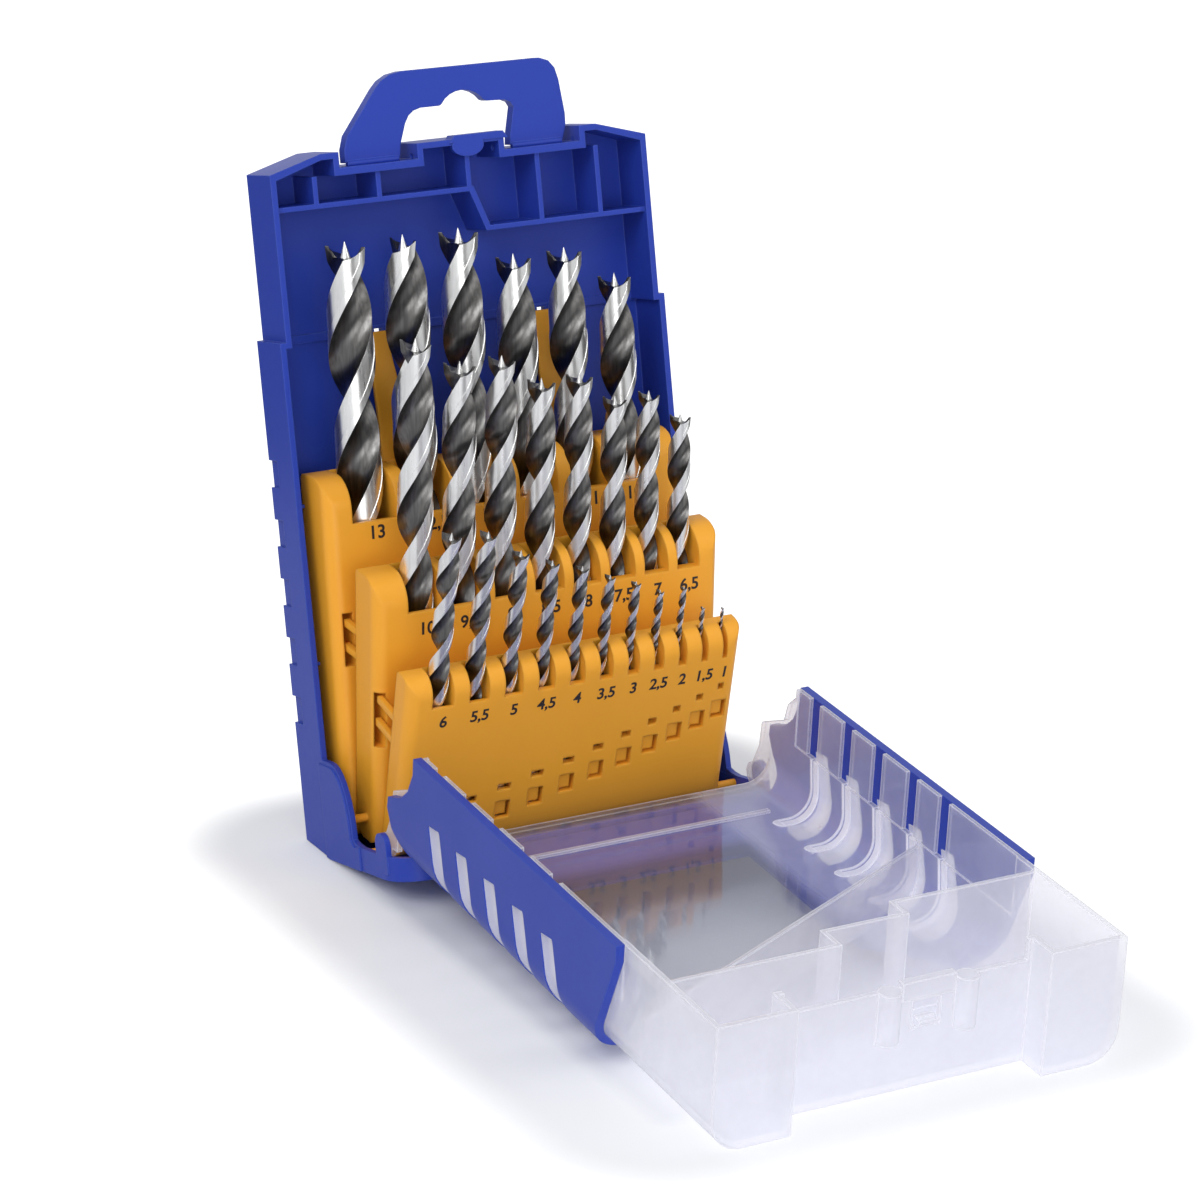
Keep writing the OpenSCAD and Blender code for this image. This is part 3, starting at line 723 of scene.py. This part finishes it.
@dataclass
class Ribbons:
    """Thin closed strips laid round the lid's corners, gathered in one mesh."""

    thickness: float
    mesh: bmesh.types.BMesh = field(default_factory=bmesh.new)

    def lay(self, rows: Sequence[tuple[float, float, float, float, float, float]],
            place: Matrix) -> None:
        """Adds one strip on each side of the lid.

        Args:
            rows: x, depth, the normal's x and depth, and the strip's two places along l.
            place: the lid's frame.
        """
        for side in (-1, 1):
            loops = []
            for x, d, nx, nd, low, high in rows:
                inner_x, inner_d = x - nx * self.thickness, d - nd * self.thickness
                corners = ((x, low, d), (x, high, d), (inner_x, high, inner_d),
                           (inner_x, low, inner_d))
                loops.append([self.mesh.verts.new(
                    place @ (Vector((side * a, b, c)) * MM)) for a, b, c in corners])
            for first, second in zip(loops, loops[1:]):
                for i in range(4):
                    j = (i + 1) % 4
                    self.mesh.faces.new((first[i], first[j], second[j], second[i]))
            self.mesh.faces.new(loops[0])
            self.mesh.faces.new(loops[-1])

    def build(self, name: str, finish: Finish, palette: Palette) -> None:
        """Makes one piece of the strips, riding on the lid."""
        bmesh.ops.recalc_face_normals(self.mesh, faces=self.mesh.faces)
        shade_by_angle(self.mesh, 35)
        piece = to_object(name, self.mesh)
        piece.data.materials.append(palette.get(finish))
        piece.visible_shadow = False
        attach(piece, "lid")


@dataclass
class Lid:
    """The clear tray in its blue frame, with frosted pads and slit rims."""

    case: CaseFrame = field(default_factory=CaseFrame)
    slit_l: tuple[float, ...] = (10.2, 27.1, 43.0, 60.2, 76.0)
    slit_top: float = 17.0
    slit_end: float = 45.6
    slit_half: float = 0.55
    near_rim: float = 1.15
    far_rim: float = 2.9
    rim_end: float = 2.3
    pad_start: float = 10.0
    pad_pitch: float = 16.1
    pad_width: float = 6.7
    pad_gap: float = 0.15
    pad_line: CornerPath = CornerPath(59.95, 35.35, 10.05)
    pad_depths: tuple[float, ...] = (14.65, 14.9, 15.3, 15.6, 16.2, 18.0, 20.5, 23.0)
    pad_ends: tuple[float, ...] = (48.0, 46.4)
    rim_line: CornerPath = CornerPath(56.3, 33.0, 7.6)
    rim_depths: tuple[float, ...] = (17.1, 19.0, 21.0, 23.0)

    def build(self, palette: Palette) -> None:
        """Makes the tray, the frame and their small frosted parts."""
        tray = Moulding("lid_tray", "lid", "clear_plastic", Finish.CLEAR).build(palette)
        tray.visible_shadow = False
        Moulding("lid_frame", "lid", "blue_plastic", Finish.BLUE).build(palette)
        self.pads(palette)
        self.rims(palette)
        LOG.info("lid")

    def pads(self, palette: Palette) -> None:
        """Fills the frame's slanted slots with the tray's frosted pads."""
        ribbons = Ribbons(2.0)
        line = self.pad_line.points(self.pad_depths, self.pad_ends)
        for number in range(5):
            start = self.pad_start + number * self.pad_pitch
            rows = []
            for x, d, nx, nd in line:
                low = start + max((15.2 - d) * 7.0 + 0.6, (15.6 - d) * 1.5, (d - 15.6) * 0.33)
                high = start + self.pad_width + (d - 14.8) * 0.319
                rows.append((x, d, nx, nd, low + self.pad_gap,
                             max(high - self.pad_gap, low + self.pad_gap + 0.05)))
            ribbons.lay(rows, self.case.lid())
        ribbons.build("slot_pads", Finish.FROSTED, palette)

    def rims(self, palette: Palette) -> None:
        """Raises a frosted rim along both sides and round the end of each slit."""
        ribbons = Ribbons(0.35)
        floor_d = self.rim_line.floor_d
        sides = self.rim_line.points(self.rim_depths, (47.0, self.slit_end))
        for start in self.slit_l:
            for low, high in ((-self.near_rim, -self.slit_half), (self.slit_half, self.far_rim)):
                ribbons.lay([(x, d, nx, nd, self.centre(start, d) + low,
                              self.centre(start, d) + high) for x, d, nx, nd in sides],
                            self.case.lid())
            cap = []
            for step in range(7):
                share = math.sin(math.pi / 2 * step / 6.2)
                width = math.sqrt(1 - share * share)
                middle = self.centre(start, floor_d)
                cap.append((self.slit_end - self.rim_end * share, floor_d, 0.0, 1.0,
                            middle - self.near_rim * width, middle + self.far_rim * width))
            ribbons.lay(cap, self.case.lid())
        ribbons.build("slit_rims", Finish.RIM, palette)

    def centre(self, start: float, depth: float) -> float:
        """Where along the lid a slit's middle lies at a depth."""
        return start + 1.45 + (depth - self.slit_top) * 0.1413


@dataclass
class Tongue:
    """A leaf that springs from the back rack up to the shell's wall under its window."""

    x: float
    foot_z: float = 100.0
    tip_z: float = 142.5
    foot_half: float = 6.0
    tip_half: float = 2.6
    thickness: float = 1.2
    rows: int = 16

    def build(self, row: RackRow, case: CaseFrame, rear: float, palette: Palette) -> None:
        """Makes the leaf, bent from the tilted rack to the upright wall.

        Args:
            row: the back row, whose rack carries the leaf.
            case: the frames.
            rear: the y of the rack's rear face and of the wall, in millimetres.
            palette: the scene's finishes.
        """
        rack, wall = row.matrix(case), case.case()
        mesh = bmesh.new()
        loops = []
        for step in range(self.rows + 1):
            share = step / self.rows
            ease = share * share * (3 - 2 * share)
            z = self.foot_z + (self.tip_z - self.foot_z) * share
            half = self.foot_half + (self.tip_half - self.foot_half) * share
            loop = []
            for side, y in ((-1, rear), (1, rear), (1, rear - self.thickness),
                            (-1, rear - self.thickness)):
                point = Vector(((self.x + side * half) * MM, y * MM, z * MM))
                loop.append(mesh.verts.new((rack @ point).lerp(wall @ point, ease)))
            loops.append(loop)
        for below, above in zip(loops, loops[1:]):
            for i in range(4):
                j = (i + 1) % 4
                mesh.faces.new((below[i], below[j], above[j], above[i]))
        mesh.faces.new(list(reversed(loops[0])))
        mesh.faces.new(loops[-1])
        bmesh.ops.recalc_face_normals(mesh, faces=mesh.faces)
        shade_by_angle(mesh, 40)
        piece = to_object(f"tongue_{'left' if self.x < 0 else 'right'}", mesh)
        piece.data.materials.append(palette.get(Finish.YELLOW))
        foot = rack @ Vector((self.x * MM, rear * MM, self.foot_z * MM))
        tip = wall @ Vector((self.x * MM, rear * MM, self.tip_z * MM))
        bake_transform(piece)


@dataclass
class Rack:
    """A yellow rack with its printed sizes and its bits."""

    row: RackRow
    case: CaseFrame = field(default_factory=CaseFrame)
    ink_lift: float = 0.03
    top: float = 106.85
    tongue_x: tuple[float, float] = (-24.5, 26.8)
    tongue_rear: float = 14.1
    ink_weight: float = 0.11

    def build(self, palette: Palette) -> None:
        """Makes the rack, its print and its bits."""
        body = f"{self.row.name}_rack"
        place = self.row.matrix(self.case)
        rack = Moulding(f"rack_{self.row.name}", body, "yellow_plastic",
                        Finish.YELLOW).build(palette)
        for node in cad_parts:
            if node.startswith(f"link_{self.row.name}"):
                Moulding(node, body, "yellow_plastic", Finish.YELLOW).build(palette)
        if self.row is BACK_ROW:
            self.cut_tongues(rack, place)
            for x in self.tongue_x:
                Tongue(x).build(self.row, self.case, self.tongue_rear, palette)
        for x, size, length, floor, bearing in zip(
                self.row.places(), self.row.sizes, self.row.lengths, self.row.floors,
                self.row.bearings):
            self.bit(x, BradPointBit(size, length, tip_bearing=bearing), floor, place, palette)
            self.label(x, size, place, body, palette)
        LOG.info("rack_%s with %d bits", self.row.name, len(self.row.sizes))

    def cut_tongues(self, rack: bpy.types.Object, place: Matrix) -> None:
        """Cuts the rigid tongues off above the rack, where the bent leaves take their place."""
        mesh = bmesh.new()
        mesh.from_mesh(rack.data)
        bmesh.ops.bisect_plane(
            mesh, geom=mesh.verts[:] + mesh.edges[:] + mesh.faces[:], clear_outer=True,
            plane_co=place @ Vector((0, 0, self.top * MM)),
            plane_no=place.to_3x3() @ Vector((0, 0, 1)))
        bmesh.ops.holes_fill(mesh, edges=[e for e in mesh.edges if e.is_boundary])
        mesh.to_mesh(rack.data)
        mesh.free()

    def bit(self, x: float, bit: BradPointBit, floor: float, place: Matrix,
            palette: Palette) -> None:
        """Stands one bit in its pocket."""
        node = f"bit_{size_name(bit.size, '_')}"
        piece = bit.build(f"{node}_ground", palette)
        piece.data.transform(
            place @ Matrix.Translation((x * MM, self.row.axis * MM, floor * MM)))
        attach(piece, node)
        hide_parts(node)

    def label(self, x: float, size: float, place: Matrix, body: str, palette: Palette) -> None:
        """Prints one size under its pocket."""
        words = bpy.data.curves.new(f"size_{size_name(size, '_')}", "FONT")
        words.body = size_name(size, ",")
        words.size = self.row.label_size * MM
        words.align_x = "CENTER"
        words.align_y = "CENTER"
        words.shear = self.row.label_slant
        words.offset = self.ink_weight * MM
        words.extrude = 0.00001
        words.materials.append(palette.get(Finish.INK))
        piece = bpy.data.objects.new(words.name, words)
        bpy.context.scene.collection.objects.link(piece)
        facing = Matrix.Rotation(math.radians(90), 4, "X")
        piece.matrix_world = place @ Matrix.Translation(
            ((x + 0.4) * MM, (self.row.front - self.ink_lift) * MM, self.row.label_z * MM)) @ facing
        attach(piece, body)


# ------------------------------------------------------------------ the studio


@dataclass
class Studio:
    """Camera, pale floor and soft light."""

    camera_mm: tuple[float, float, float] = (-491.6, -980.8, 432.5)
    heading: float = 27.97
    drop: float = 18.57
    lens: float = 123.66
    floor_size: float = 8.0
    # The patch of painted shade: its box's middle and half size, where the glow comes back, the
    # glow left near the box, and the distance over which the floor loses all its glow at the box.
    patch_middle: tuple[float, float, float] = (0.0, -0.095, 0.0)
    patch_half: tuple[float, float, float] = (0.056, 0.1, 0.0)
    patch_from: float = 0.024
    patch_to: float = 0.052
    patch_glow: float = 0.19
    contact: float = 0.006

    def build(self) -> None:
        """Sets the scene round the case."""
        self.camera()
        self.floor()
        self.world()
        self.lamp("key", (-1.1, -0.75, 1.25), 0.9, 12.0)
        self.lamp("low", (-0.35, -1.3, 0.35), 0.8, 5.5)
        self.lamp("fill", (1.1, -0.7, 0.9), 1.2, 5.0)
        self.lamp("top", (0.1, 0.5, 1.5), 0.9, 1.9)
        for number, (turn, width) in enumerate(((30, 0.16), (-118, 0.2), (108, 0.2))):
            self.flag(f"flag_{number}", turn, width)

    def camera(self) -> None:
        """Places the camera at the photograph's viewing angle."""
        data = bpy.data.cameras.new("camera")
        data.lens = self.lens
        data.sensor_width = 36.0
        data.clip_end = 50.0
        made = bpy.data.objects.new("camera", data)
        bpy.context.scene.collection.objects.link(made)
        made.location = Vector(self.camera_mm) * MM
        made.rotation_euler = (math.radians(90 - self.drop), 0, math.radians(-self.heading))
        bpy.context.scene.camera = made

    def floor(self) -> None:
        """Lays a white floor whose glow is cut down in a patch round the case: the real soft shadow
        shows there, and the whole patch is painted shade, darkest in the box under the case and the
        open lid.
        """
        mesh = bmesh.new()
        bmesh.ops.create_grid(mesh, x_segments=1, y_segments=1, size=self.floor_size / 2)
        floor = to_object("floor", mesh)
        floor.location.z = -0.0002
        r = Recipe("white_floor")
        paint = r.node("ShaderNodeBsdfDiffuse", {}, {"Color": (0.80, 0.81, 0.84)})
        glow = r.node("ShaderNodeEmission", {}, {"Color": (1.0, 1.0, 1.0), "Strength": 1.25})
        seen = r.node("ShaderNodeLightPath", output="Is Camera Ray")
        passed = r.node("ShaderNodeLightPath", output="Is Transmission Ray")
        away = r.place()
        for operation, value in (("SUBTRACT", self.patch_middle), ("ABSOLUTE", None),
                                 ("SUBTRACT", self.patch_half), ("MAXIMUM", (0, 0, 0))):
            inputs = {0: away} if value is None else {0: away, 1: value}
            away = r.node("ShaderNodeVectorMath", {"operation": operation}, inputs)
        away = r.node("ShaderNodeVectorMath", {"operation": "LENGTH"}, {0: away},
                      output="Value")
        far = r.node("ShaderNodeMapRange", {"interpolation_type": "SMOOTHSTEP"}, {
            "Value": away, "From Min": self.patch_from, "From Max": self.patch_to,
            "To Min": self.patch_glow, "To Max": 1.0})
        # Painted shade: the floor's glow is cut down in the patch, and to nothing at the box under
        # the case and the open lid.
        share = (seen + passed).clamp() * far * (away / self.contact).clamp()
        r.finish(r.node("ShaderNodeMixShader", {}, {0: share, 1: paint, 2: glow}))
        floor.data.materials.append(r.material)

    def flag(self, name: str, turn: float, width: float) -> None:
        """Stands a black flag by the case that only gloss sees, for contrast on the steel.

        Args:
            name: the flag's name.
            turn: its bearing from the camera's, in degrees.
            width: its width in metres.
        """
        mesh = bmesh.new()
        bmesh.ops.create_grid(mesh, x_segments=1, y_segments=1, size=0.5)
        flag = to_object(name, mesh)
        bearing = math.radians(-90 - self.heading + turn)
        flag.location = (0.36 * math.cos(bearing), 0.36 * math.sin(bearing), 0.2)
        flag.rotation_euler = (math.radians(90), 0, bearing + math.radians(90))
        flag.scale = (width, 0.4, 1.0)
        r = Recipe(f"{name}_black")
        r.finish(r.node("ShaderNodeBsdfDiffuse", {}, {"Color": (0.08, 0.08, 0.08)}))
        flag.data.materials.append(r.material)
        flag.visible_camera = flag.visible_diffuse = False
        flag.visible_shadow = flag.visible_transmission = False

    def world(self) -> None:
        """Lights the case from all round and shows white behind it."""
        world = bpy.data.worlds.new("studio")
        bpy.context.scene.world = world
        world.use_nodes = True
        tree = world.node_tree
        tree.nodes.clear()
        path = tree.nodes.new("ShaderNodeLightPath")
        seen = tree.nodes.new("ShaderNodeMath")
        seen.operation = "MAXIMUM"
        tree.links.new(path.outputs["Is Camera Ray"], seen.inputs[0])
        tree.links.new(path.outputs["Is Transmission Ray"], seen.inputs[1])
        also = tree.nodes.new("ShaderNodeMath")
        also.operation = "MAXIMUM"
        tree.links.new(seen.outputs[0], also.inputs[0])
        tree.links.new(path.outputs["Is Glossy Ray"], also.inputs[1])
        level = tree.nodes.new("ShaderNodeMapRange")
        level.inputs["To Min"].default_value = 0.55
        level.inputs["To Max"].default_value = 1.0
        tree.links.new(also.outputs[0], level.inputs["Value"])
        sky = tree.nodes.new("ShaderNodeBackground")
        tree.links.new(level.outputs[0], sky.inputs["Strength"])
        end = tree.nodes.new("ShaderNodeOutputWorld")
        tree.links.new(sky.outputs[0], end.inputs[0])

    def lamp(self, name: str, place: Sequence[float], size: float, power: float) -> None:
        """Hangs a soft square lamp that faces the case.

        Args:
            name: the lamp's name.
            place: where it hangs, in metres.
            size: its side in metres.
            power: its power in watts.
        """
        data = bpy.data.lights.new(name, "AREA")
        data.shape = "SQUARE"
        data.size = size
        data.energy = power
        made = bpy.data.objects.new(name, data)
        bpy.context.scene.collection.objects.link(made)
        made.location = place
        made.rotation_euler = (Vector((0, -0.06, 0.08)) - made.location).to_track_quat(
            "-Z", "Y").to_euler()


def main() -> None:
    """Builds the studio, then the case's pieces in order."""
    logging.basicConfig(level=logging.INFO, format="%(name)s: %(message)s")
    bpy.context.scene.view_settings.view_transform = "Standard"
    palette = Palette()
    Studio().build()
    Shell().build(palette)
    for row in ROWS:
        Rack(row).build(palette)
    Lid().build(palette)


if __name__ == "__main__":
    main()
